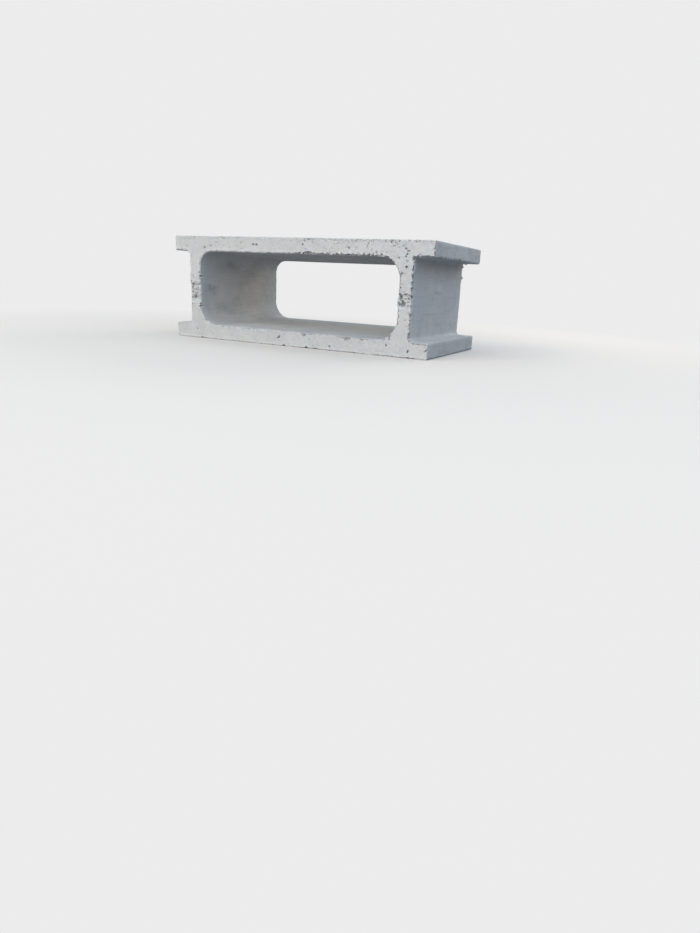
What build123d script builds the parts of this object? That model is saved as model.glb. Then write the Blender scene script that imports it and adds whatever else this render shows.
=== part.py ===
"""Hollow concrete block with one core and flanged ends, lying on a face shell.

Frame, in millimetres: +X runs along the block, +Y runs along the core from the tamped
face to the pallet face, and +Z is up. The origin is the middle of the face it rests on.
"""

import os

from build123d import *

# Overall size
length = 390.0  # over the flanges at both ends
height = 190.0  # tamped face to pallet face, which is the height of one course
width = 140.0  # over both face shells, which is the thickness of the wall

# End recesses, between the flanges, straight from face to face
flange_reach = 25.0  # how far the face shells run on past the end webs
flange_thickness = 20.0
recess_corner_radius = 5.0  # where a flange meets the end web
flange_edge_radius = 1.5  # the mould's rounded corners at the flange tips

# Walls round the core, thinner at the tamped face because the core tapers
shell_tamped = 20.0
shell_pallet = 25.0
web_tamped = 18.5
web_pallet = 22.0
core_radius_tamped = 24.0
core_radius_pallet = 26.0

# Worn edges round both bed faces and both mouths of the core
arris_radius = 1.0

# Mark of the bar that carries the core, pressed into the tamped face of both end webs. The
# bar hung a little low and askew in the mould.
bar_mark_width = 19.0  # at the bottom of the mark
bar_mark_depth = 2.5
bar_mark_flare = 2.0  # how much further each side reaches at the face
bar_mark_drop = 5.0  # from the middle of the face down to the middle of the mark
bar_mark_tilt = 0.8  # degrees, higher at the +X end
cut_past = 1.0  # the mark is cut from this far outside the face, and past both ends

# Worked out from the sizes above
mid_width = width / 2
recess_width = width - 2 * flange_thickness
web_span = length - 2 * flange_reach  # over the outer faces of the end webs
core_length_tamped = web_span - 2 * web_tamped
core_length_pallet = web_span - 2 * web_pallet
core_width_tamped = width - 2 * shell_tamped
core_width_pallet = width - 2 * shell_pallet
bar_mark_half = bar_mark_width / 2
bar_cut_half = bar_mark_half + bar_mark_flare * (1 + cut_past / bar_mark_depth)
tamped_plane = Plane.XZ.offset(height / 2)
pallet_plane = Plane.XZ.offset(-height / 2)
bar_middle = (0, -height / 2, mid_width - bar_mark_drop)
bar_plane = Plane(bar_middle, x_dir=(0, 1, 0), z_dir=(1, 0, 0)).rotated((-bar_mark_tilt, 0, 0))

with BuildPart() as hollow_block:
    # The mould box: a rectangle with a recess at each end, drawn straight up
    with BuildSketch(tamped_plane):
        Rectangle(length, width, align=(Align.CENTER, Align.MIN))
        with Locations((-length / 2, mid_width)):
            Rectangle(flange_reach, recess_width, align=(Align.MIN, Align.CENTER), mode=Mode.SUBTRACT)
        with Locations((length / 2, mid_width)):
            Rectangle(flange_reach, recess_width, align=(Align.MAX, Align.CENTER), mode=Mode.SUBTRACT)
        columns = vertices().group_by(Axis.X)
        fillet(columns[1] + columns[-2], radius=recess_corner_radius)
        columns = vertices().group_by(Axis.X)
        fillet(columns[0] + columns[-1], radius=flange_edge_radius)
    extrude(amount=-height)

    # The core: rounded oblongs at the two open faces, wider at the tamped one
    with BuildSketch(tamped_plane):
        with Locations((0, mid_width)):
            RectangleRounded(core_length_tamped, core_width_tamped, core_radius_tamped)
    with BuildSketch(pallet_plane):
        with Locations((0, mid_width)):
            RectangleRounded(core_length_pallet, core_width_pallet, core_radius_pallet)
    loft(mode=Mode.SUBTRACT)

    # The two bed faces are the only flat faces across Y, and all their edges are worn
    fillet(faces().filter_by(Axis.Y).edges(), radius=arris_radius)

    # The core bar's mark: a shallow trough along the tamped face, across both end webs
    with BuildSketch(bar_plane):
        with BuildLine():
            Polyline(
                (-cut_past, -bar_cut_half),
                (bar_mark_depth, -bar_mark_half),
                (bar_mark_depth, bar_mark_half),
                (-cut_past, bar_cut_half),
                close=True,
            )
        make_face()
    extrude(amount=length / 2 + cut_past, both=True, mode=Mode.SUBTRACT)

hollow_block.part.label = "hollow_block"

os.makedirs("parts", exist_ok=True)
export_step(hollow_block.part, "parts/hollow_block.step")
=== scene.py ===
"""One hollow concrete block, cast in one piece and lying on a face shell, on a pale floor."""
import math
import random

import bpy
import numpy as np
from mathutils import Matrix, Vector, kdtree, noise


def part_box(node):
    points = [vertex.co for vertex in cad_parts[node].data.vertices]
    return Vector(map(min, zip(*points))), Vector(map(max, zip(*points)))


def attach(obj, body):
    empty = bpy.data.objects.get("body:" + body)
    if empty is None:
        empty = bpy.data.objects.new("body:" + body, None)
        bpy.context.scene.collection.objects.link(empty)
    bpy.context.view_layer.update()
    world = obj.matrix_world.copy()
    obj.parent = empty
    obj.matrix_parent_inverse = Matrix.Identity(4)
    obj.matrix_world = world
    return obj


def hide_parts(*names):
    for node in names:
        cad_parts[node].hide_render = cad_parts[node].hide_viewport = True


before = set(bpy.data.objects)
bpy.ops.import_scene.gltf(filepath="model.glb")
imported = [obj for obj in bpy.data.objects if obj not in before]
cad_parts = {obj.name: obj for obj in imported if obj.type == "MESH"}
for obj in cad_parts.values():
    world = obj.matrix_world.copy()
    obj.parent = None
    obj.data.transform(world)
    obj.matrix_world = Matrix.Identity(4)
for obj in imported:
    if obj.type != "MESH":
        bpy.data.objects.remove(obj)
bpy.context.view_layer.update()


# The view
# The camera stands low, to the right of the block, and looks across its tamped face and
# through its core, with the eye below the level of the block's upper face.
eye = Vector((0.46927, -0.85378, 0.09104))
turn_left, look_down, lean = math.radians(26.11), math.radians(16.05), math.radians(2.76)
focal_pixels, long_side_pixels = 649.1, 933

bpy.ops.object.camera_add()
camera = bpy.context.object
camera.name = "camera"
camera.matrix_world = (
    Matrix.Translation(eye)
    @ Matrix.Rotation(turn_left, 4, "Z")
    @ Matrix.Rotation(math.pi / 2 - look_down, 4, "X")
    @ Matrix.Rotation(lean, 4, "Z")
)
camera.data.sensor_width = 36
camera.data.lens = camera.data.sensor_width * focal_pixels / long_side_pixels
camera.data.clip_start = 0.01
bpy.context.scene.camera = camera
bpy.context.scene.view_settings.view_transform = "Standard"


# The floor and the light
# A pale sheet on a level floor, which fades into a pale backdrop. To the light that it
# throws back at the block it is darker than to the camera, as a plain workshop floor is.
floor_size = 16.0
floor_seen, floor_thrown = (0.66, 0.605, 0.560, 1), (0.22, 0.23, 0.25, 1)
backdrop = (0.84, 0.84, 0.84, 1)
fade_from, fade_to = 0.30, 0.85

bpy.ops.mesh.primitive_plane_add(size=floor_size, location=(0, 0, 0))
floor = bpy.context.object
floor.name = "floor"
paint = bpy.data.materials.new("floor_paint")
paint.use_nodes = True
nodes, links = paint.node_tree.nodes, paint.node_tree.links
shader = nodes["Principled BSDF"]
shader.inputs["Roughness"].default_value = 0.9
shader.inputs["Specular IOR Level"].default_value = 0.1
path = nodes.new("ShaderNodeLightPath")
tone = nodes.new("ShaderNodeMix")
tone.data_type = "RGBA"
tone.inputs["A"].default_value = floor_thrown
tone.inputs["B"].default_value = floor_seen
links.new(path.outputs["Is Camera Ray"], tone.inputs["Factor"])
links.new(tone.outputs["Result"], shader.inputs["Base Color"])
where = nodes.new("ShaderNodeTexCoord")
distance = nodes.new("ShaderNodeVectorMath")
distance.operation = "LENGTH"
links.new(where.outputs["Object"], distance.inputs[0])
fade = nodes.new("ShaderNodeMapRange")
fade.interpolation_type = "SMOOTHSTEP"
fade.inputs["From Min"].default_value = fade_from
fade.inputs["From Max"].default_value = fade_to
links.new(distance.outputs["Value"], fade.inputs["Value"])
seen_far = nodes.new("ShaderNodeMath")
seen_far.operation = "MULTIPLY"
links.new(fade.outputs["Result"], seen_far.inputs[0])
links.new(path.outputs["Is Camera Ray"], seen_far.inputs[1])
far = nodes.new("ShaderNodeEmission")
far.inputs["Color"].default_value = backdrop
ground = nodes.new("ShaderNodeMixShader")
links.new(seen_far.outputs["Value"], ground.inputs[0])
links.new(shader.outputs[0], ground.inputs[1])
links.new(far.outputs[0], ground.inputs[2])
links.new(ground.outputs[0], nodes["Material Output"].inputs["Surface"])
floor.data.materials.append(paint)

# A soft dome of light, bright and a little blue overhead and dull round the horizon
overhead, horizon = (0.85, 1.02, 1.16, 1), (0.10, 0.10, 0.11, 1)
world = bpy.data.worlds.new("sky")
bpy.context.scene.world = world
world.use_nodes = True
nodes, links = world.node_tree.nodes, world.node_tree.links
sky = nodes["Background"]
where = nodes.new("ShaderNodeTexCoord")
direction = nodes.new("ShaderNodeSeparateXYZ")
links.new(where.outputs["Generated"], direction.inputs[0])
height_up = nodes.new("ShaderNodeMapRange")
height_up.inputs["From Min"].default_value = 0.05
height_up.inputs["From Max"].default_value = 0.65
links.new(direction.outputs["Z"], height_up.inputs["Value"])
dome = nodes.new("ShaderNodeMix")
dome.data_type = "RGBA"
dome.inputs["A"].default_value = horizon
dome.inputs["B"].default_value = overhead
links.new(height_up.outputs["Result"], dome.inputs["Factor"])
links.new(dome.outputs["Result"], sky.inputs["Color"])
path = nodes.new("ShaderNodeLightPath")
behind = nodes.new("ShaderNodeBackground")
behind.inputs["Color"].default_value = backdrop
either = nodes.new("ShaderNodeMixShader")
links.new(path.outputs["Is Camera Ray"], either.inputs[0])
links.new(sky.outputs[0], either.inputs[1])
links.new(behind.outputs[0], either.inputs[2])
links.new(either.outputs[0], nodes["World Output"].inputs[0])

lamps = (
    # name, place, size, watts, colour
    ("key", (-1.3, -2.2, 1.5), 2.2, 46, (1.0, 0.88, 0.73)),
    ("front_fill", (0.6, -2.4, 0.5), 1.4, 25, (0.98, 0.96, 0.96)),
    ("right_fill", (1.7, -1.3, 1.6), 1.4, 8, (0.24, 0.52, 1.0)),
    ("warm_back", (0.50, 1.35, 0.5), 0.8, 10, (1.0, 0.86, 0.72)),
)
aim_height = 0.07
for name, stand, size, watts, tint in lamps:
    bpy.ops.object.light_add(type="AREA", location=stand)
    lamp = bpy.context.object
    lamp.name = name
    lamp.data.size = size
    lamp.data.energy = watts
    lamp.data.color = tint
    lamp.rotation_euler = (Vector((0, 0, aim_height)) - lamp.location).to_track_quat("-Z", "Y").to_euler()


# The block
# Earth-damp concrete is tamped into a steel mould round one tapered core, and the block is
# stripped at once. So its sides carry drag marks and its edges are crumbly, and the face
# that was tamped, which looks at the camera, is paler and pitted.
low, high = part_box("hollow_block")
length, height, thickness = high - low
flange_reach, flange_thickness = 0.025, 0.020
tip_radius = 0.0015
core_tamped = (0.303, 0.100)
core_pallet = (0.296, 0.090)
core_corners = (
    # sign of x, sign of z from the middle, radius at the tamped face, radius at the pallet face
    (-1, -1, 0.026, 0.026),
    (-1, 1, 0.0185, 0.0180),
    (1, -1, 0.026, 0.026),
    (1, 1, 0.026, 0.026),
)
tamped_y, pallet_y = low.y, high.y
middle = (low.z + high.z) / 2


def start_alone():
    """Leaves nothing selected and no object in edit mode."""
    if bpy.context.object and bpy.context.object.mode != "OBJECT":
        bpy.ops.object.mode_set(mode="OBJECT")
    bpy.ops.object.select_all(action="DESELECT")


def section_plane(name, width, depth, y):
    """A rectangle across the block at y, facing along the core, with its size in its mesh."""
    start_alone()
    upright = (math.pi / 2, 0, 0)
    bpy.ops.mesh.primitive_plane_add(size=1, location=(0, y, middle), rotation=upright)
    piece = bpy.context.object
    piece.name = name
    piece.scale = (width, depth, 1)
    bpy.ops.object.transform_apply(location=True, rotation=True, scale=True)
    return piece


def pick(parts, chosen):
    """Goes into edit mode with only the vertices or faces selected that pass the test."""
    bpy.ops.object.mode_set(mode="EDIT")
    bpy.ops.mesh.select_all(action="DESELECT")
    bpy.ops.object.mode_set(mode="OBJECT")
    for part in parts:
        part.select = chosen(part)
    bpy.ops.object.mode_set(mode="EDIT")


def round_corners(piece, radius, segments, chosen):
    """Rounds the corners of a flat outline that pass the test."""
    pick(piece.data.vertices, chosen)
    bpy.ops.mesh.bevel(affect="VERTICES", offset=radius, segments=segments, profile=0.5)
    bpy.ops.object.mode_set(mode="OBJECT")


block = section_plane("concrete_block", length, thickness, tamped_y)
bpy.context.tool_settings.mesh_select_mode = (True, False, False)
web_x = length / 2 - flange_reach
recess_corners = (
    # sign of x, sign of z from the middle, radius
    (-1, -1, 0.0065),
    (-1, 1, 0.0065),
    (1, -1, 0.0050),
    (1, 1, 0.0025),
)
bpy.ops.object.mode_set(mode="EDIT")
for cut, across in (
    ((-web_x, 0, 0), (1, 0, 0)),
    ((web_x, 0, 0), (1, 0, 0)),
    ((0, 0, low.z + flange_thickness), (0, 0, 1)),
    ((0, 0, high.z - flange_thickness), (0, 0, 1)),
):
    bpy.ops.mesh.select_all(action="SELECT")
    bpy.ops.mesh.bisect(plane_co=cut, plane_no=across)
bpy.ops.mesh.select_mode(type="FACE")
bpy.ops.object.mode_set(mode="OBJECT")
pick(
    block.data.polygons,
    lambda face: abs(face.center.x) > web_x and abs(face.center.z - middle) < flange_thickness,
)
bpy.ops.mesh.delete(type="FACE")
bpy.ops.mesh.select_all(action="SELECT")
bpy.ops.mesh.dissolve_limited(angle_limit=math.radians(1))
bpy.ops.mesh.select_mode(type="VERT")
bpy.ops.object.mode_set(mode="OBJECT")
for end, edge, radius in recess_corners:
    inner = Vector((end * web_x, tamped_y, middle + edge * (thickness / 2 - flange_thickness)))
    round_corners(block, radius, 6, lambda corner: (corner.co - inner).length < 1e-5)
round_corners(block, tip_radius, 3, lambda corner: abs(corner.co.x) > length / 2 - 1e-5)
bpy.ops.object.mode_set(mode="EDIT")
bpy.ops.mesh.select_all(action="SELECT")
bpy.ops.mesh.extrude_region_move(TRANSFORM_OT_translate={"value": (0, height, 0)})
bpy.ops.mesh.select_all(action="SELECT")
bpy.ops.mesh.normals_make_consistent(inside=False)
bpy.ops.object.mode_set(mode="OBJECT")

# The core, a little longer than the block, between two rounded rectangles
clearance = 0.004
rims = []
for which, (y, (width, depth)) in enumerate(((tamped_y, core_tamped), (pallet_y, core_pallet))):
    y += clearance if y > 0 else -clearance
    rim = section_plane("core_rim", width, depth, y)
    for end, edge, *radii in core_corners:
        sharp = Vector((end * width / 2, y, middle + edge * depth / 2))
        round_corners(rim, radii[which], 12, lambda corner: (corner.co - sharp).length < 1e-5)
    rims.append(rim)
start_alone()
for rim in rims:
    rim.select_set(True)
core = rims[0]
bpy.context.view_layer.objects.active = core
bpy.ops.object.join()
bpy.ops.object.mode_set(mode="EDIT")
bpy.ops.mesh.select_all(action="SELECT")
bpy.ops.mesh.bridge_edge_loops()
bpy.ops.mesh.select_all(action="SELECT")
bpy.ops.mesh.normals_make_consistent(inside=False)
bpy.ops.object.mode_set(mode="OBJECT")

start_alone()
block.select_set(True)
bpy.context.view_layer.objects.active = block
hollow = block.modifiers.new("hollow", "BOOLEAN")
hollow.operation = "DIFFERENCE"
hollow.object = core
bpy.ops.object.modifier_apply(modifier=hollow.name)
bpy.data.objects.remove(core)

# An even mesh to carry the relief, twice as fine on the bed faces and along their edges
skin_step, edge_band = 0.0011, 0.004
skin = block.modifiers.new("skin", "REMESH")
skin.mode = "VOXEL"
skin.voxel_size = skin_step
bpy.ops.object.modifier_apply(modifier=skin.name)
bpy.ops.object.mode_set(mode="EDIT")
bpy.ops.mesh.select_mode(type="FACE")
bpy.ops.object.mode_set(mode="OBJECT")
pick(block.data.polygons, lambda face: abs(face.center.y) > height / 2 - edge_band)
bpy.ops.mesh.subdivide(number_cuts=1)
bpy.ops.object.mode_set(mode="OBJECT")


def places():
    """The block's vertices, one row each."""
    flat = np.empty(3 * len(block.data.vertices))
    block.data.vertices.foreach_get("co", flat)
    return flat.reshape(-1, 3)


def set_places(spots):
    block.data.vertices.foreach_set("co", spots.ravel())
    block.data.update()


def outward():
    """The direction in which the skin faces at each vertex."""
    flat = np.empty(3 * len(block.data.vertices))
    block.data.vertex_normals.foreach_get("vector", flat)
    return flat.reshape(-1, 3)


def rounded(across, along, radius):
    """Distance outside a corner of that radius, from the distances past its two sides."""
    a, b = across + radius, along + radius
    return np.hypot(np.maximum(a, 0), np.maximum(b, 0)) + np.minimum(np.maximum(a, b), 0) - radius


def behind_walls(x, y, z):
    """How deep a place lies behind the nearest side of the mould or the core."""
    from_middle = abs(z - middle)
    box = np.minimum(length / 2 - abs(x), thickness / 2 - from_middle)
    flange_side = thickness / 2 - flange_thickness
    recess = np.zeros_like(x)
    for end, edge, radius in recess_corners:
        here = (x * end >= 0) & ((z - middle) * edge >= 0)
        recess[here] = rounded(web_x - abs(x[here]), from_middle[here] - flange_side, radius)
    share = (y - tamped_y) / height
    width, depth = (a + (b - a) * share for a, b in zip(core_tamped, core_pallet))
    radius = np.zeros_like(x)
    for end, edge, front, back in core_corners:
        here = (x * end >= 0) & ((z - middle) * edge >= 0)
        radius[here] = (front + (back - front) * share)[here]
    bore = rounded(abs(x) - width / 2, from_middle - depth / 2, radius)
    return np.minimum(np.minimum(box, recess), bore)


def behind_beds(y):
    return np.minimum(y - tamped_y, pallet_y - y)


def grain(spots, size, shift=0.0):
    """Smooth noise from about -1 to 1 with lumps of that size, which may differ by axis."""
    return np.array([noise.noise(spot) for spot in (spots / np.array(size) + shift).tolist()])


def ramp(value, first, last):
    return np.clip((value - first) / (last - first), 0, 1)


# Unevenness: long waves all over, grit where it was tamped, drag lines on the mould sides
spots, facing = places(), outward()
x, y, z = spots.T
tamped = ramp(y, tamped_y + 0.0015, tamped_y + 0.0004)
pallet = ramp(y, pallet_y - 0.0015, pallet_y - 0.0004)
gritty = 0.35 + 0.65 * ramp(grain(spots, 0.045, 5.2) + 4 * x, -0.2, 0.6)
rise = 0.00022 * grain(spots, 0.055)
rise += tamped * gritty * (0.00022 * grain(spots, 0.0060, 3.1) + 0.00020 * grain(spots, 0.0021, 7.7))
rise += pallet * 0.00012 * grain(spots, 0.0030, 6.4)
rise += (1 - tamped - pallet) * 0.00012 * grain(spots, (0.0040, 0.070, 0.0040), 1.9)
spots += facing * rise[:, None]

# The marks of the bar that carried the core, pressed rough and open into the tamped face
press_reach = 0.006
front = np.flatnonzero(spots[:, 1] < tamped_y + press_reach)
fx, fy, fz = spots[front].T
bar_marks = (
    # from x, to x, from z, to z, how deep, how wide its sloping side
    (-0.173, -0.149, 0.0500, 0.0757, 0.0020, 0.0016),
    (0.149, 0.173, 0.0575, 0.0775, 0.0012, 0.0030),
)
ragged = 0.0014 * grain(spots[front], 0.0038, 2.2)
lumps = 0.0009 * grain(spots[front], (0.0065, 0.0030, 0.0026), 9.3)
lumps += 0.0006 * grain(spots[front], 0.0016, 17.3)
voids = 0.0065 * np.maximum(grain(spots[front], 0.0046, 12.1) - 0.26, 0)
for left, right, bottom, top, deep, side in bar_marks:
    across = np.minimum(fx - left, right - fx)
    along = np.minimum(fz + ragged - bottom, top - fz - 0.4 * ragged)
    trough = ramp(np.minimum(across, along), 0, side) * deep
    trough += (trough > 0) * np.maximum(lumps + voids, -0.7 * trough)
    fy += trough * ramp(fy, tamped_y + press_reach, tamped_y)

# Holes and scratches on the tamped face, along lines in x and z, read off the photo
# and placed to half a millimetre
scars = (
    # the line, how wide to each side, how deep
    (((-0.0630, 0.1300),), 0.0016, 0.0026),
    (((-0.0575, 0.1300),), 0.0016, 0.0026),
    (((-0.1335, 0.1270),), 0.0013, 0.0018),
    (((-0.1365, 0.1340),), 0.0009, 0.0006),
    (((-0.1225, 0.1205),), 0.0015, 0.0016),
    (((-0.0840, 0.1240), (-0.0780, 0.1245)), 0.0007, 0.0005),
    (((0.0140, 0.1315),), 0.0015, 0.0024),
    (((0.0165, 0.1355), (0.0170, 0.1365)), 0.0009, 0.0012),
    (((-0.0035, 0.1345),), 0.0012, 0.0011),
    (((0.1055, 0.1290), (0.1070, 0.1320), (0.1085, 0.1360)), 0.0009, 0.0009),
    (((0.1385, 0.1370),), 0.0018, 0.0017),
    (((0.1495, 0.1190),), 0.0014, 0.0015),
    (((0.1580, 0.1295),), 0.0015, 0.0020),
    (((0.1605, 0.1270),), 0.0012, 0.0015),
    (((0.1630, 0.1275), (0.1625, 0.1265)), 0.0010, 0.0014),
    (((0.1600, 0.1235),), 0.0013, 0.0019),
    (((0.1585, 0.1210), (0.1585, 0.1200)), 0.0011, 0.0017),
    (((0.1590, 0.1165), (0.1605, 0.1140)), 0.0007, 0.0009),
    (((0.1600, 0.1085),), 0.0018, 0.0026),
    (((0.1550, 0.1015), (0.1530, 0.1000)), 0.0012, 0.0014),
    (((0.1625, 0.0460),), 0.0013, 0.0013),
    (((0.1530, 0.0750),), 0.0026, 0.0026),
    (((0.1555, 0.0730),), 0.0021, 0.0027),
    (((0.1550, 0.0705),), 0.0013, 0.0016),
    (((0.1610, 0.0710),), 0.0011, 0.0015),
    (((0.1650, 0.0720),), 0.0014, 0.0018),
    (((0.1660, 0.0760),), 0.0015, 0.0017),
    (((0.1690, 0.0740),), 0.0013, 0.0020),
    (((0.1570, 0.0670),), 0.0012, 0.0016),
    (((0.1640, 0.0675),), 0.0010, 0.0013),
    (((0.1600, 0.0635), (0.1610, 0.0630)), 0.0012, 0.0016),
    (((0.1650, 0.0630),), 0.0011, 0.0014),
    (((-0.0215, 0.0100), (-0.0190, 0.0125)), 0.0011, 0.0022),
    (((-0.0275, 0.0085), (-0.0270, 0.0110)), 0.0007, 0.0008),
    (((0.0585, 0.0055),), 0.0016, 0.0019),
    (((0.0845, 0.0080),), 0.0012, 0.0013),
    (((0.1395, 0.0135),), 0.0017, 0.0020),
    (((0.1685, 0.0075), (0.1695, 0.0095)), 0.0013, 0.0020),
)


def off_line(x, z, line):
    """How far each place is from a line of straight runs, seen along the core."""
    apart = []
    for (ax, az), (bx, bz) in zip(line, line[1:] or line):
        run = max((bx - ax) ** 2 + (bz - az) ** 2, 1e-12)
        share = np.clip(((x - ax) * (bx - ax) + (z - az) * (bz - az)) / run, 0, 1)
        apart.append(np.hypot(x - ax - share * (bx - ax), z - az - share * (bz - az)))
    return np.min(apart, axis=0)


uneven = 1 + 0.55 * grain(spots[front], 0.0017, 15.5)
for line, half_width, deep in scars:
    share = np.clip(off_line(fx, fz, line) * uneven / half_width, 0, 1)
    fy += deep * (1 - share ** 2) ** 0.8
spots[front, 1] = fy

# Crumbled edges where the bed faces meet the walls, worst round the right-hand web and
# along the right-hand flanges
bites = (
    # which bed face, the line in x and z, how wide to each side, how deep
    (tamped_y, ((0.1700, 0.1055),), 0.0028, 0.0034),
    (tamped_y, ((0.1700, 0.0980), (0.1700, 0.0965)), 0.0026, 0.0044),
    (tamped_y, ((0.1700, 0.0905), (0.1700, 0.0890)), 0.0024, 0.0040),
    (tamped_y, ((0.1700, 0.0830), (0.1700, 0.0815)), 0.0026, 0.0042),
    (tamped_y, ((0.1700, 0.0735),), 0.0030, 0.0040),
    (tamped_y, ((0.1700, 0.0520),), 0.0024, 0.0034),
    (tamped_y, ((0.1700, 0.0360),), 0.0022, 0.0026),
    (tamped_y, ((0.1700, 0.0290), (0.1700, 0.0260)), 0.0026, 0.0038),
    (tamped_y, ((0.1515, 0.0505),), 0.0028, 0.0034),
    (tamped_y, ((0.1515, 0.0410),), 0.0028, 0.0032),
    (tamped_y, ((0.1515, 0.1000), (0.1515, 0.0840)), 0.0030, 0.0024),
    (tamped_y, ((0.1695, 0.1190),), 0.0032, 0.0044),
    (tamped_y, ((0.1740, 0.1200),), 0.0022, 0.0034),
    (tamped_y, ((0.1790, 0.1200), (0.1810, 0.1200)), 0.0022, 0.0030),
    (tamped_y, ((0.1860, 0.1200),), 0.0028, 0.0042),
    (tamped_y, ((0.1915, 0.1200),), 0.0020, 0.0032),
    (tamped_y, ((0.1705, 0.0210),), 0.0026, 0.0030),
    (tamped_y, ((0.1755, 0.0200), (0.1770, 0.0200)), 0.0024, 0.0036),
    (tamped_y, ((0.1830, 0.0200),), 0.0026, 0.0040),
    (tamped_y, ((0.1895, 0.0200),), 0.0020, 0.0030),
    (tamped_y, ((-0.1510, 0.0000),), 0.0024, 0.0034),
    (tamped_y, ((-0.1125, 0.0200),), 0.0022, 0.0026),
    (tamped_y, ((-0.0830, 0.0200), (-0.0670, 0.0200)), 0.0030, 0.0024),
    (tamped_y, ((-0.0115, 0.0000),), 0.0026, 0.0030),
    (tamped_y, ((0.0235, 0.0000),), 0.0030, 0.0036),
    (tamped_y, ((-0.0880, 0.1400),), 0.0022, 0.0024),
    (tamped_y, ((-0.1700, 0.0690), (-0.1700, 0.0240)), 0.0070, 0.0030),
    (tamped_y, ((-0.1840, 0.1200),), 0.0026, 0.0024),
    (pallet_y, ((0.1700, 0.0905),), 0.0024, 0.0028),
    (pallet_y, ((0.1850, 0.1200),), 0.0036, 0.0030),
    (pallet_y, ((-0.0400, 0.1400), (-0.0310, 0.1400)), 0.0040, 0.0046),
    (pallet_y, ((-0.1950, 0.0060),), 0.0040, 0.0034),
    (pallet_y, ((0.0870, 0.0000),), 0.0034, 0.0040),
)
frayed = (
    # from and to in x and z, how far apart the nicks are, how deep they may be
    ((0.1700, 0.0230), (0.1700, 0.1190), 0.0036, 0.0036),
    ((0.0040, 0.1200), (0.0500, 0.1200), 0.0026, 0.0050),
    ((0.0500, 0.1200), (0.1280, 0.1200), 0.0032, 0.0040),
    ((-0.1200, 0.1200), (0.0000, 0.1200), 0.0070, 0.0020),
    ((0.1710, 0.1200), (0.1940, 0.1200), 0.0026, 0.0042),
    ((0.1710, 0.0200), (0.1940, 0.0200), 0.0026, 0.0034),
    ((0.1950, 0.1215), (0.1950, 0.1390), 0.0030, 0.0024),
    ((0.1950, 0.0030), (0.1950, 0.0190), 0.0030, 0.0022),
    ((0.1515, 0.0430), (0.1515, 0.0980), 0.0038, 0.0030),
    ((-0.1515, 0.0430), (-0.1515, 0.0920), 0.0036, 0.0050),
    ((-0.1700, 0.0480), (-0.1700, 0.0800), 0.0046, 0.0032),
    ((-0.1930, 0.0200), (-0.1710, 0.0200), 0.0040, 0.0036),
    ((-0.1930, 0.1200), (-0.1730, 0.1200), 0.0050, 0.0026),
    ((-0.1250, 0.0200), (0.1250, 0.0200), 0.0056, 0.0036),
    ((-0.1900, 0.0), (0.1900, 0.0), 0.0150, 0.0024),
)
nick = random.Random(5)
for (ax, az), (bx, bz), spacing, deepest in frayed:
    for count in range(int(math.hypot(bx - ax, bz - az) / spacing)):
        share = (count + nick.random()) * spacing / math.hypot(bx - ax, bz - az)
        spot = (ax + (bx - ax) * share, az + (bz - az) * share)
        bites += ((tamped_y, (spot,), nick.uniform(0.0008, 0.0018), deepest * nick.uniform(0.3, 1.0)),)
burrs = (
    # which bed face, where in x and z, how wide to each side, how far it stands out
    (pallet_y, (0.1700, 0.1010), 0.0026, 0.0018),
    (pallet_y, (0.1700, 0.1160), 0.0026, 0.0016),
    (pallet_y, (0.1745, 0.1200), 0.0024, 0.0013),
    (tamped_y, (0.1515, 0.0690), 0.0030, 0.0010),
    (tamped_y, (0.1515, 0.0640), 0.0024, 0.0009),
)
step, edge_reach = 0.0002, 0.009
x, y, z = spots.T
wall, bed = behind_walls(x, y, z), behind_beds(y)
near = np.flatnonzero(wall + bed < edge_reach)
x, y, z = spots[near].T
crumbly = 0.40 + 0.60 * (y < 0) * np.maximum(ramp(x, -0.02, 0.12), 0.7 * ramp(abs(x - 0.028), 0.022, 0.006))
crumbly *= 1 - 0.55 * ramp(z, 0.010, 0.004)
crumbs = 0.0060 * np.maximum(grain(spots[near], 0.0031, 4.4) - 0.02, 0)
fines = 0.0022 * np.maximum(grain(spots[near], 0.0014, 6.1), 0)
chips = 0.0110 * np.maximum(grain(spots[near], 0.0130, 8.8) - 0.32, 0)
leg = 0.0006 + crumbly * (crumbs + fines + chips)
uneven = 1 + 0.35 * grain(spots[near], 0.0020, 3.8)
for face_y, line, half_width, deep in bites:
    share = off_line(x, z, line) * uneven / half_width
    leg = np.maximum(leg, (y * face_y > 0) * deep * np.clip(1.5 - 1.5 * share ** 2, 0, 1))
cut = np.maximum(leg - np.maximum(wall[near], 0) - np.maximum(bed[near], 0), 0) / 2
inward = np.stack([
    behind_walls(x + step, y, z) - behind_walls(x - step, y, z),
    2 * step * np.sign(-y),
    behind_walls(x, y, z + step) - behind_walls(x, y, z - step),
]) / (2 * step)
for face_y, spot, half_width, stands in burrs:
    share = off_line(x, z, (spot,)) * uneven / half_width
    lump = (y * face_y > 0) * stands * np.clip(1 - share ** 2, 0, 1) * ramp(bed[near], 0.005, 0.001)
    cut -= lump * ramp(bed[near], 0.0, 0.001)
spots[near] += (inward * cut).T

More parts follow.
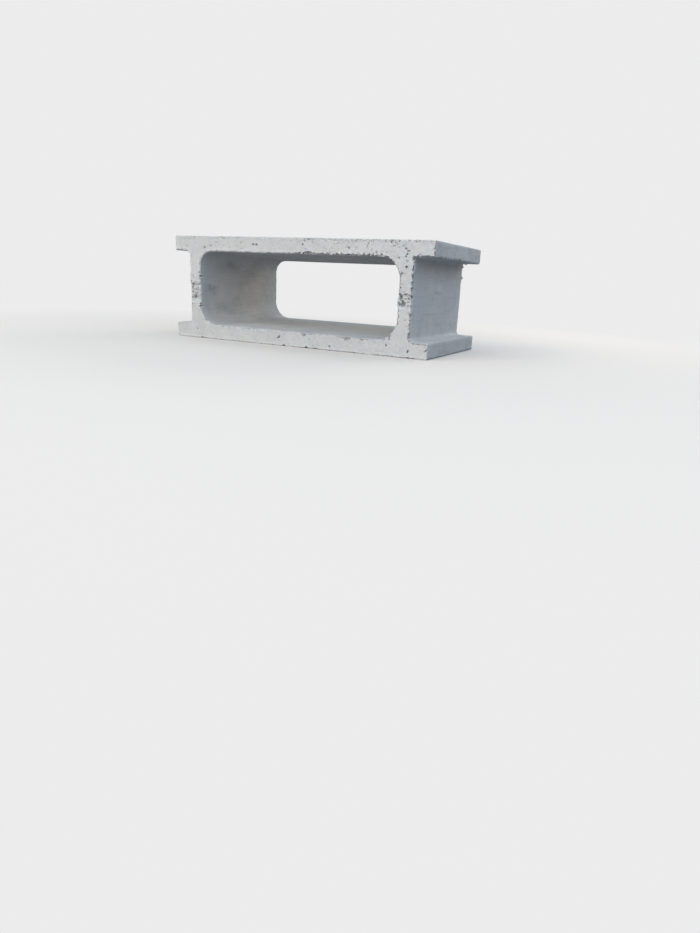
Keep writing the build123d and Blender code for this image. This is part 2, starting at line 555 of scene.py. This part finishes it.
# The long edges of the flange tips, a little worn. The lower edge of the upper right-hand
# tip is torn, most at the tamped face.
tip_reach = 0.006
x, y, z = spots.T
tip = length / 2 - abs(x)
from_middle = abs(z - middle)
for side, sign in ((thickness / 2 - from_middle, -1), (from_middle - thickness / 2 + flange_thickness, 1)):
    near = np.flatnonzero((tip + abs(side) < tip_reach) & (tip > -0.001))
    worn = grain(spots[near], (0.0030, 0.0036, 0.0030), 14.2)
    leg = 0.0011 + 0.0024 * np.maximum(worn - 0.10, 0)
    torn = (sign > 0) * (x[near] > 0) * (z[near] > middle) * ramp(y[near], 0.045, -0.010)
    leg += 0.0075 * torn * np.maximum(grain(spots[near], 0.0034, 5.7), 0)
    cut = np.maximum(leg - np.maximum(tip[near], 0) - np.maximum(side[near], 0), 0) / 2
    spots[near, 0] -= np.sign(x[near]) * cut
    spots[near, 2] += sign * np.sign(z[near] - middle) * cut
set_places(spots)

# Pores left by trapped air, drawn out along the way the mould slid on all but the bed
# faces. The core's steel left its walls closer than the mould's sides.
pores = kdtree.KDTree(len(spots))
for index, spot in enumerate(spots.tolist()):
    pores.insert(spot, index)
pores.balance()
facing = outward()
chance = random.Random(11)
patches_per_metre, waves_per_metre = 26, 800
groups = (
    # how many, lowest and highest corner of where, smallest and largest radius, drawn out by
    (260, (low.x, tamped_y, low.z), (high.x, tamped_y, high.z), 0.0006, 0.0017, 1.0),
    (16, (-0.136, tamped_y, 0.122), (0.150, tamped_y, 0.138), 0.0010, 0.0016, 1.0),
    (24, (-0.170, tamped_y, 0.046), (-0.152, tamped_y, 0.084), 0.0010, 0.0016, 1.0),
    (8, (-0.170, tamped_y, 0.004), (0.190, tamped_y, 0.017), 0.0010, 0.0016, 1.0),
    (36, (0.055, tamped_y, 0.123), (0.083, tamped_y, 0.137), 0.0005, 0.0010, 1.0),
    (30, (0.139, tamped_y, 0.130), (0.162, tamped_y, 0.139), 0.0005, 0.0011, 1.0),
    (40, (0.151, tamped_y, 0.078), (0.160, tamped_y, 0.103), 0.0005, 0.0010, 1.0),
    (60, (-0.172, tamped_y, 0.046), (-0.150, tamped_y, 0.078), 0.0007, 0.0016, 1.0),
    (10, (-0.172, tamped_y, 0.078), (-0.150, tamped_y, 0.092), 0.0007, 0.0014, 1.0),
    (60, (0.151, tamped_y, 0.056), (0.171, tamped_y, 0.079), 0.0005, 0.0014, 1.0),
    (40, (0.040, tamped_y, 0.121), (0.130, tamped_y, 0.139), 0.0005, 0.0011, 1.0),
    (30, (0.140, tamped_y, 0.001), (0.194, tamped_y, 0.019), 0.0005, 0.0010, 1.0),
    (26, (0.171, tamped_y, 0.1203), (0.194, tamped_y, 0.1222), 0.0007, 0.0013, 1.0),
    (26, (0.004, tamped_y, 0.1203), (0.050, tamped_y, 0.1224), 0.0007, 0.0014, 1.0),
    (34, (0.050, tamped_y, 0.1203), (0.130, tamped_y, 0.1220), 0.0006, 0.0012, 1.0),
    (34, (0.1680, tamped_y, 0.024), (0.1698, tamped_y, 0.120), 0.0006, 0.0012, 1.0),
    (30, (0.1517, tamped_y, 0.040), (0.1538, tamped_y, 0.100), 0.0006, 0.0012, 1.0),
    (24, (-0.1542, tamped_y, 0.044), (-0.1517, tamped_y, 0.094), 0.0008, 0.0014, 1.0),
    (44, (-0.128, tamped_y, 0.0180), (0.130, tamped_y, 0.0198), 0.0007, 0.0013, 1.0),
    (20, (0.171, tamped_y, 0.0178), (0.194, tamped_y, 0.0197), 0.0006, 0.0012, 1.0),
    (30, (0.1925, tamped_y, 0.001), (0.1945, tamped_y, 0.139), 0.0006, 0.0012, 1.0),
    (40, (-0.19, tamped_y, 0.1375), (0.19, tamped_y, 0.1396), 0.0006, 0.0012, 1.0),
    (170, (low.x, pallet_y, low.z), (high.x, pallet_y, high.z), 0.0006, 0.0018, 1.0),
    (420, (low.x, tamped_y, high.z), (high.x, pallet_y, high.z), 0.0007, 0.0016, 1.6),
    (420, (low.x, tamped_y, low.z), (high.x, pallet_y, low.z), 0.0007, 0.0016, 1.6),
    (60, (low.x, tamped_y, high.z - flange_thickness), (low.x, pallet_y, high.z), 0.0006, 0.0013, 1.4),
    (60, (low.x, tamped_y, low.z), (low.x, pallet_y, low.z + flange_thickness), 0.0006, 0.0013, 1.4),
    (60, (high.x, tamped_y, high.z - flange_thickness), (high.x, pallet_y, high.z), 0.0006, 0.0013, 1.4),
    (60, (high.x, tamped_y, low.z), (high.x, pallet_y, low.z + flange_thickness), 0.0006, 0.0013, 1.4),
    (90, (-web_x, tamped_y, 0.024), (-web_x, pallet_y, 0.116), 0.0006, 0.0012, 1.4),
    (90, (web_x, tamped_y, 0.024), (web_x, pallet_y, 0.116), 0.0006, 0.0012, 1.4),
    (200, (-0.150, tamped_y + 0.02, 0.026), (0.150, pallet_y, 0.114), 0.0006, 0.0013, 1.4),
)
push = np.zeros(len(spots))
for count, lowest, highest, smallest, largest, drawn in groups:
    while count:
        aim = Vector([chance.uniform(a, b) for a, b in zip(lowest, highest)])
        centre, _index, _gap = pores.find(aim)
        if drawn > 1 and noise.noise(centre * patches_per_metre) < chance.uniform(-0.35, 0.20):
            continue
        count -= 1
        radius = smallest + (largest - smallest) * chance.random() ** 2.5
        deep = radius * (chance.uniform(0.3, 0.8) if drawn > 1 else chance.uniform(0.5, 1.2))
        for spot, other, _gap in pores.find_range(centre, radius * drawn):
            gap = spot - centre
            gap.y /= drawn
            share = gap.length / radius * (1 + 0.55 * noise.noise(spot * waves_per_metre))
            if share < 1:
                push[other] = max(push[other], deep * (1 - share * share) ** 0.7)
spots -= facing * push[:, None]
set_places(spots)

# Thinned where it is plain, so that the triangles stay where the relief is
most_triangles = 190000
triangles = sum(len(face.vertices) - 2 for face in block.data.polygons)
start_alone()
block.select_set(True)
thin = block.modifiers.new("thin", "DECIMATE")
thin.ratio = most_triangles / triangles
bpy.ops.object.modifier_apply(modifier=thin.name)
bpy.ops.object.shade_smooth_by_angle(angle=math.radians(50))
even = block.modifiers.new("even", "WEIGHTED_NORMAL")
even.keep_sharp = True
bpy.ops.object.modifier_apply(modifier=even.name)

# Darker spots where paste was drawn off the walls, along lines in y and z, read off the
# photo and placed to half a millimetre
left_core_wall, right_recess_wall = -0.1505, web_x
stains = (
    # which wall, the line, how far it spreads, how strong
    (left_core_wall, ((-0.0760, 0.0700), (-0.0690, 0.0670)), 0.0090, 1.00),
    (left_core_wall, ((-0.0310, 0.1045), (-0.0250, 0.1000)), 0.0090, 0.80),
    (left_core_wall, ((-0.0140, 0.0510),), 0.0110, 0.75),
    (left_core_wall, ((0.0155, 0.0920),), 0.0100, 0.65),
    (left_core_wall, ((-0.0460, 0.0960),), 0.0090, 0.50),
    (left_core_wall, ((-0.0010, 0.0780),), 0.0110, 0.50),
    (left_core_wall, ((-0.0560, 0.0420), (-0.0200, 0.0380)), 0.0120, 0.45),
    (right_recess_wall, ((-0.0150, 0.0705),), 0.0056, 0.80),
    (right_recess_wall, ((-0.0100, 0.0785), (0.0080, 0.0785)), 0.0020, 0.60),
    (right_recess_wall, ((-0.0510, 0.0530), (-0.0305, 0.0520)), 0.0020, 0.50),
    (right_recess_wall, ((-0.0250, 0.0525), (-0.0105, 0.0520)), 0.0020, 0.45),
    (right_recess_wall, ((-0.0180, 0.0385), (0.0225, 0.0365)), 0.0020, 0.45),
    (right_recess_wall, ((0.0615, 0.0350),), 0.0030, 0.80),
    (right_recess_wall, ((0.0485, 0.0530),), 0.0028, 0.80),
)

# What the colour needs to know at each vertex: how far it lies behind the face that the
# mould left, whether it is on a bed face, how near it is to that face's edge, and stains
spots = places()
x, y, z = spots.T
wall, bed = behind_walls(x, y, z), behind_beds(y)
for left, right, bottom, top, deep, _side in bar_marks:
    bed -= ((x > left) & (x < right) & (z > bottom) & (z < top) & (y < 0)) * 0.9 * deep
marks = {
    "sunk": np.clip(np.minimum(wall, bed), 0, 0.01) / 0.001,
    "tamped": ramp(y, tamped_y + 0.003, tamped_y + 0.0012) * ramp(wall, -0.0005, 0.0005),
    "edge": ramp(np.maximum(wall, 0) + np.maximum(bed, 0), 0.004, 0.0005),
    "outside": np.maximum(ramp(abs(z - middle), 0.066, 0.069), ramp(abs(x), 0.191, 0.194)),
}
stain = np.zeros(len(spots))
for wall_x, line, reach, strong in stains:
    here = (abs(x - wall_x) < 0.006) & (abs(z - middle) < 0.047) & (abs(y) < height / 2 - 0.003)
    share = off_line(y, z, line) / reach
    stain = np.maximum(stain, here * strong * np.clip(1.3 - 1.3 * share, 0, 1))
marks["stain"] = stain
for name, values in marks.items():
    block.data.attributes.new(name, "FLOAT", "POINT").data.foreach_set("value", values)

# Fresh from the mould, the block sagged: the left web leans out a little at the tamped face
leaning = 0.0016 * ramp(x, -0.125, -0.150) * ramp(y, 0, tamped_y) * ramp(z, 0.004, 0.022)
spots[:, 0] -= leaning
set_places(spots)

# The concrete: two greys of cement clouded into each other, sand grains showing through a
# thin skin of paste, drag lines on the mould sides, dark pores and pale broken edges, and
# hollows and nicks darkened by their depth, partly grime and partly painted shade
concrete = bpy.data.materials.new("concrete")
concrete.use_nodes = True
nodes, links = concrete.node_tree.nodes, concrete.node_tree.links
shader = nodes["Principled BSDF"]
shader.inputs["Roughness"].default_value = 0.92
shader.inputs["Specular IOR Level"].default_value = 0.25
place = nodes.new("ShaderNodeTexCoord").outputs["Object"]


def value_of(name):
    node = nodes.new("ShaderNodeAttribute")
    node.attribute_name = name
    return node.outputs["Fac"]


def drawn_out(stretch):
    """Object coordinates with the pattern drawn out along the core."""
    node = nodes.new("ShaderNodeMapping")
    node.inputs["Scale"].default_value = (1, 1 / stretch, 1)
    links.new(place, node.inputs["Vector"])
    return node.outputs["Vector"]


def clouds(size, detail=3.0, where=place):
    node = nodes.new("ShaderNodeTexNoise")
    node.inputs["Scale"].default_value = 1 / size
    node.inputs["Detail"].default_value = detail
    node.inputs["Roughness"].default_value = 0.6
    links.new(where, node.inputs["Vector"])
    return node.outputs["Fac"]


def wavering(where, size, reach):
    """Coordinates shaken by up to that reach, so that what follows them has ragged outlines."""
    shake = nodes.new("ShaderNodeTexNoise")
    shake.inputs["Scale"].default_value = 1 / size
    links.new(where, shake.inputs["Vector"])
    scaled = nodes.new("ShaderNodeVectorMath")
    scaled.operation = "MULTIPLY_ADD"
    scaled.inputs[1].default_value = (reach, reach, reach)
    links.new(shake.outputs["Color"], scaled.inputs[0])
    links.new(where, scaled.inputs[2])
    return scaled.outputs["Vector"]


def cells(size, output="Distance", where=place):
    node = nodes.new("ShaderNodeTexVoronoi")
    node.inputs["Scale"].default_value = 1 / size
    links.new(where, node.inputs["Vector"])
    return node.outputs[output]


def spread(value, from_low, from_high, to_low=0.0, to_high=1.0):
    node = nodes.new("ShaderNodeMapRange")
    node.inputs["From Min"].default_value = from_low
    node.inputs["From Max"].default_value = from_high
    node.inputs["To Min"].default_value = to_low
    node.inputs["To Max"].default_value = to_high
    links.new(value, node.inputs["Value"])
    return node.outputs["Result"]


def sums(kind, first, second):
    node = nodes.new("ShaderNodeMath")
    node.operation = kind
    for socket, term in zip(node.inputs, (first, second)):
        if isinstance(term, float):
            socket.default_value = term
        else:
            links.new(term, socket)
    return node.outputs["Value"]


def both(first, second):
    return sums("MULTIPLY", first, second)


def blended(first, second, factor, kind="MIX"):
    node = nodes.new("ShaderNodeMix")
    node.data_type = "RGBA"
    node.blend_type = kind
    links.new(factor, node.inputs["Factor"])
    for socket, colour in ((node.inputs["A"], first), (node.inputs["B"], second)):
        if isinstance(colour, tuple):
            socket.default_value = colour + (1,)
        else:
            links.new(colour, socket)
    return node.outputs["Result"]


grey, pale_grey, blue_grey = (0.440, 0.442, 0.432), (0.525, 0.523, 0.508), (0.440, 0.452, 0.460)
tamped_pale, tamped_dull = (0.545, 0.543, 0.528), (0.44, 0.442, 0.435)
drag_grey, bunched_grey = (0.36, 0.365, 0.37), (0.34, 0.345, 0.345)
broken_pale, hollow_shade_and_grime, pore_dark = (0.66, 0.655, 0.64), (0.22, 0.22, 0.215), (0.28, 0.28, 0.28)
stain_dark, sand_pale, speck_dark = (0.20, 0.205, 0.215), (0.80, 0.79, 0.77), (0.20, 0.20, 0.20)

tamped, edge, sunk = value_of("tamped"), value_of("edge"), value_of("sunk")
outside, stain = value_of("outside"), value_of("stain")
moulded = sums("SUBTRACT", 1.0, tamped)
drag = clouds(0.0026, 3.0, drawn_out(16.0))
bunches = clouds(0.028, 3.0)
shaken = wavering(drawn_out(1.5), 0.0016, 0.0016)
coarse = both(spread(cells(0.0040, where=shaken), 0.24, 0.14), spread(bunches, 0.46, 0.60))
fine = both(spread(cells(0.0022, where=shaken), 0.28, 0.16), spread(bunches, 0.40, 0.62))
finest = both(spread(cells(0.0014, where=shaken), 0.30, 0.18), spread(bunches, 0.30, 0.60, 0.15, 0.8))
pores_seen = sums("MAXIMUM", sums("MAXIMUM", coarse, fine), finest)
pores_seen = both(pores_seen, both(moulded, spread(outside, 0.0, 1.0, 0.3, 1.0)))

colour = blended(grey, pale_grey, spread(clouds(0.050, 4.0), 0.36, 0.66))
colour = blended(colour, blue_grey, both(spread(clouds(0.090, 2.0), 0.45, 0.62), moulded))
colour = blended(colour, tamped_pale, both(tamped, spread(clouds(0.020, 3.0), 0.30, 0.62, 0.45, 1.0)))
colour = blended(colour, tamped_dull, both(tamped, spread(clouds(0.0048, 4.0), 0.48, 0.72, 0.0, 0.55)))
colour = blended(colour, drag_grey, both(moulded, spread(drag, 0.48, 0.72, 0.0, 0.38)))
colour = blended(colour, bunched_grey, both(moulded, spread(bunches, 0.52, 0.75, 0.0, 0.45)))
colour = blended(colour, broken_pale, both(edge, spread(clouds(0.0018, 2.0), 0.44, 0.60, 0.0, 0.7)))
# Painted shade with some grime: the deeper a place lies behind the mould's face, in pits, nicks and chips,
# the darker it is painted, a little less on the edges
shade_and_grime_share = both(spread(sunk, 0.3, 1.3, 0.0, 0.76), spread(edge, 0.0, 1.0, 1.0, 0.85))
colour = blended(colour, hollow_shade_and_grime, shade_and_grime_share)
colour = blended(colour, pore_dark, both(pores_seen, 0.55))
smudged = both(stain, spread(clouds(0.0055, 4.0), 0.30, 0.60, 0.40, 1.0))
colour = blended(colour, stain_dark, both(smudged, 0.80))
grains = cells(0.0011, "Color")
colour = blended(colour, grains, spread(clouds(0.0060, 2.0), 0.35, 0.65, 0.03, 0.13), "OVERLAY")
colour = blended(colour, sand_pale, spread(cells(0.0030), 0.11, 0.07, 0.0, 0.55))
specks = spread(cells(0.0038, where=wavering(place, 0.0012, 0.0012)), 0.17, 0.10, 0.0, 0.70)
colour = blended(colour, speck_dark, both(specks, spread(clouds(0.016, 2.0), 0.36, 0.58, 0.15, 1.0)))
links.new(colour, shader.inputs["Base Color"])

# Relief too fine for the mesh, in millimetres
relief = both(spread(clouds(0.0009, 3.0), 0.3, 0.7), 0.16)
relief = sums("ADD", relief, both(both(drag, moulded), 0.28))
relief = sums("SUBTRACT", relief, both(pores_seen, 0.50))
broken = sums("MAXIMUM", edge, spread(sunk, 0.3, 1.0))
relief = sums("ADD", relief, both(both(clouds(0.0013, 3.0), broken), 1.1))
bump = nodes.new("ShaderNodeBump")
bump.inputs["Distance"].default_value = 0.001
links.new(relief, bump.inputs["Height"])
links.new(bump.outputs["Normal"], shader.inputs["Normal"])
block.data.materials.append(concrete)

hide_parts("hollow_block")
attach(block, "root")
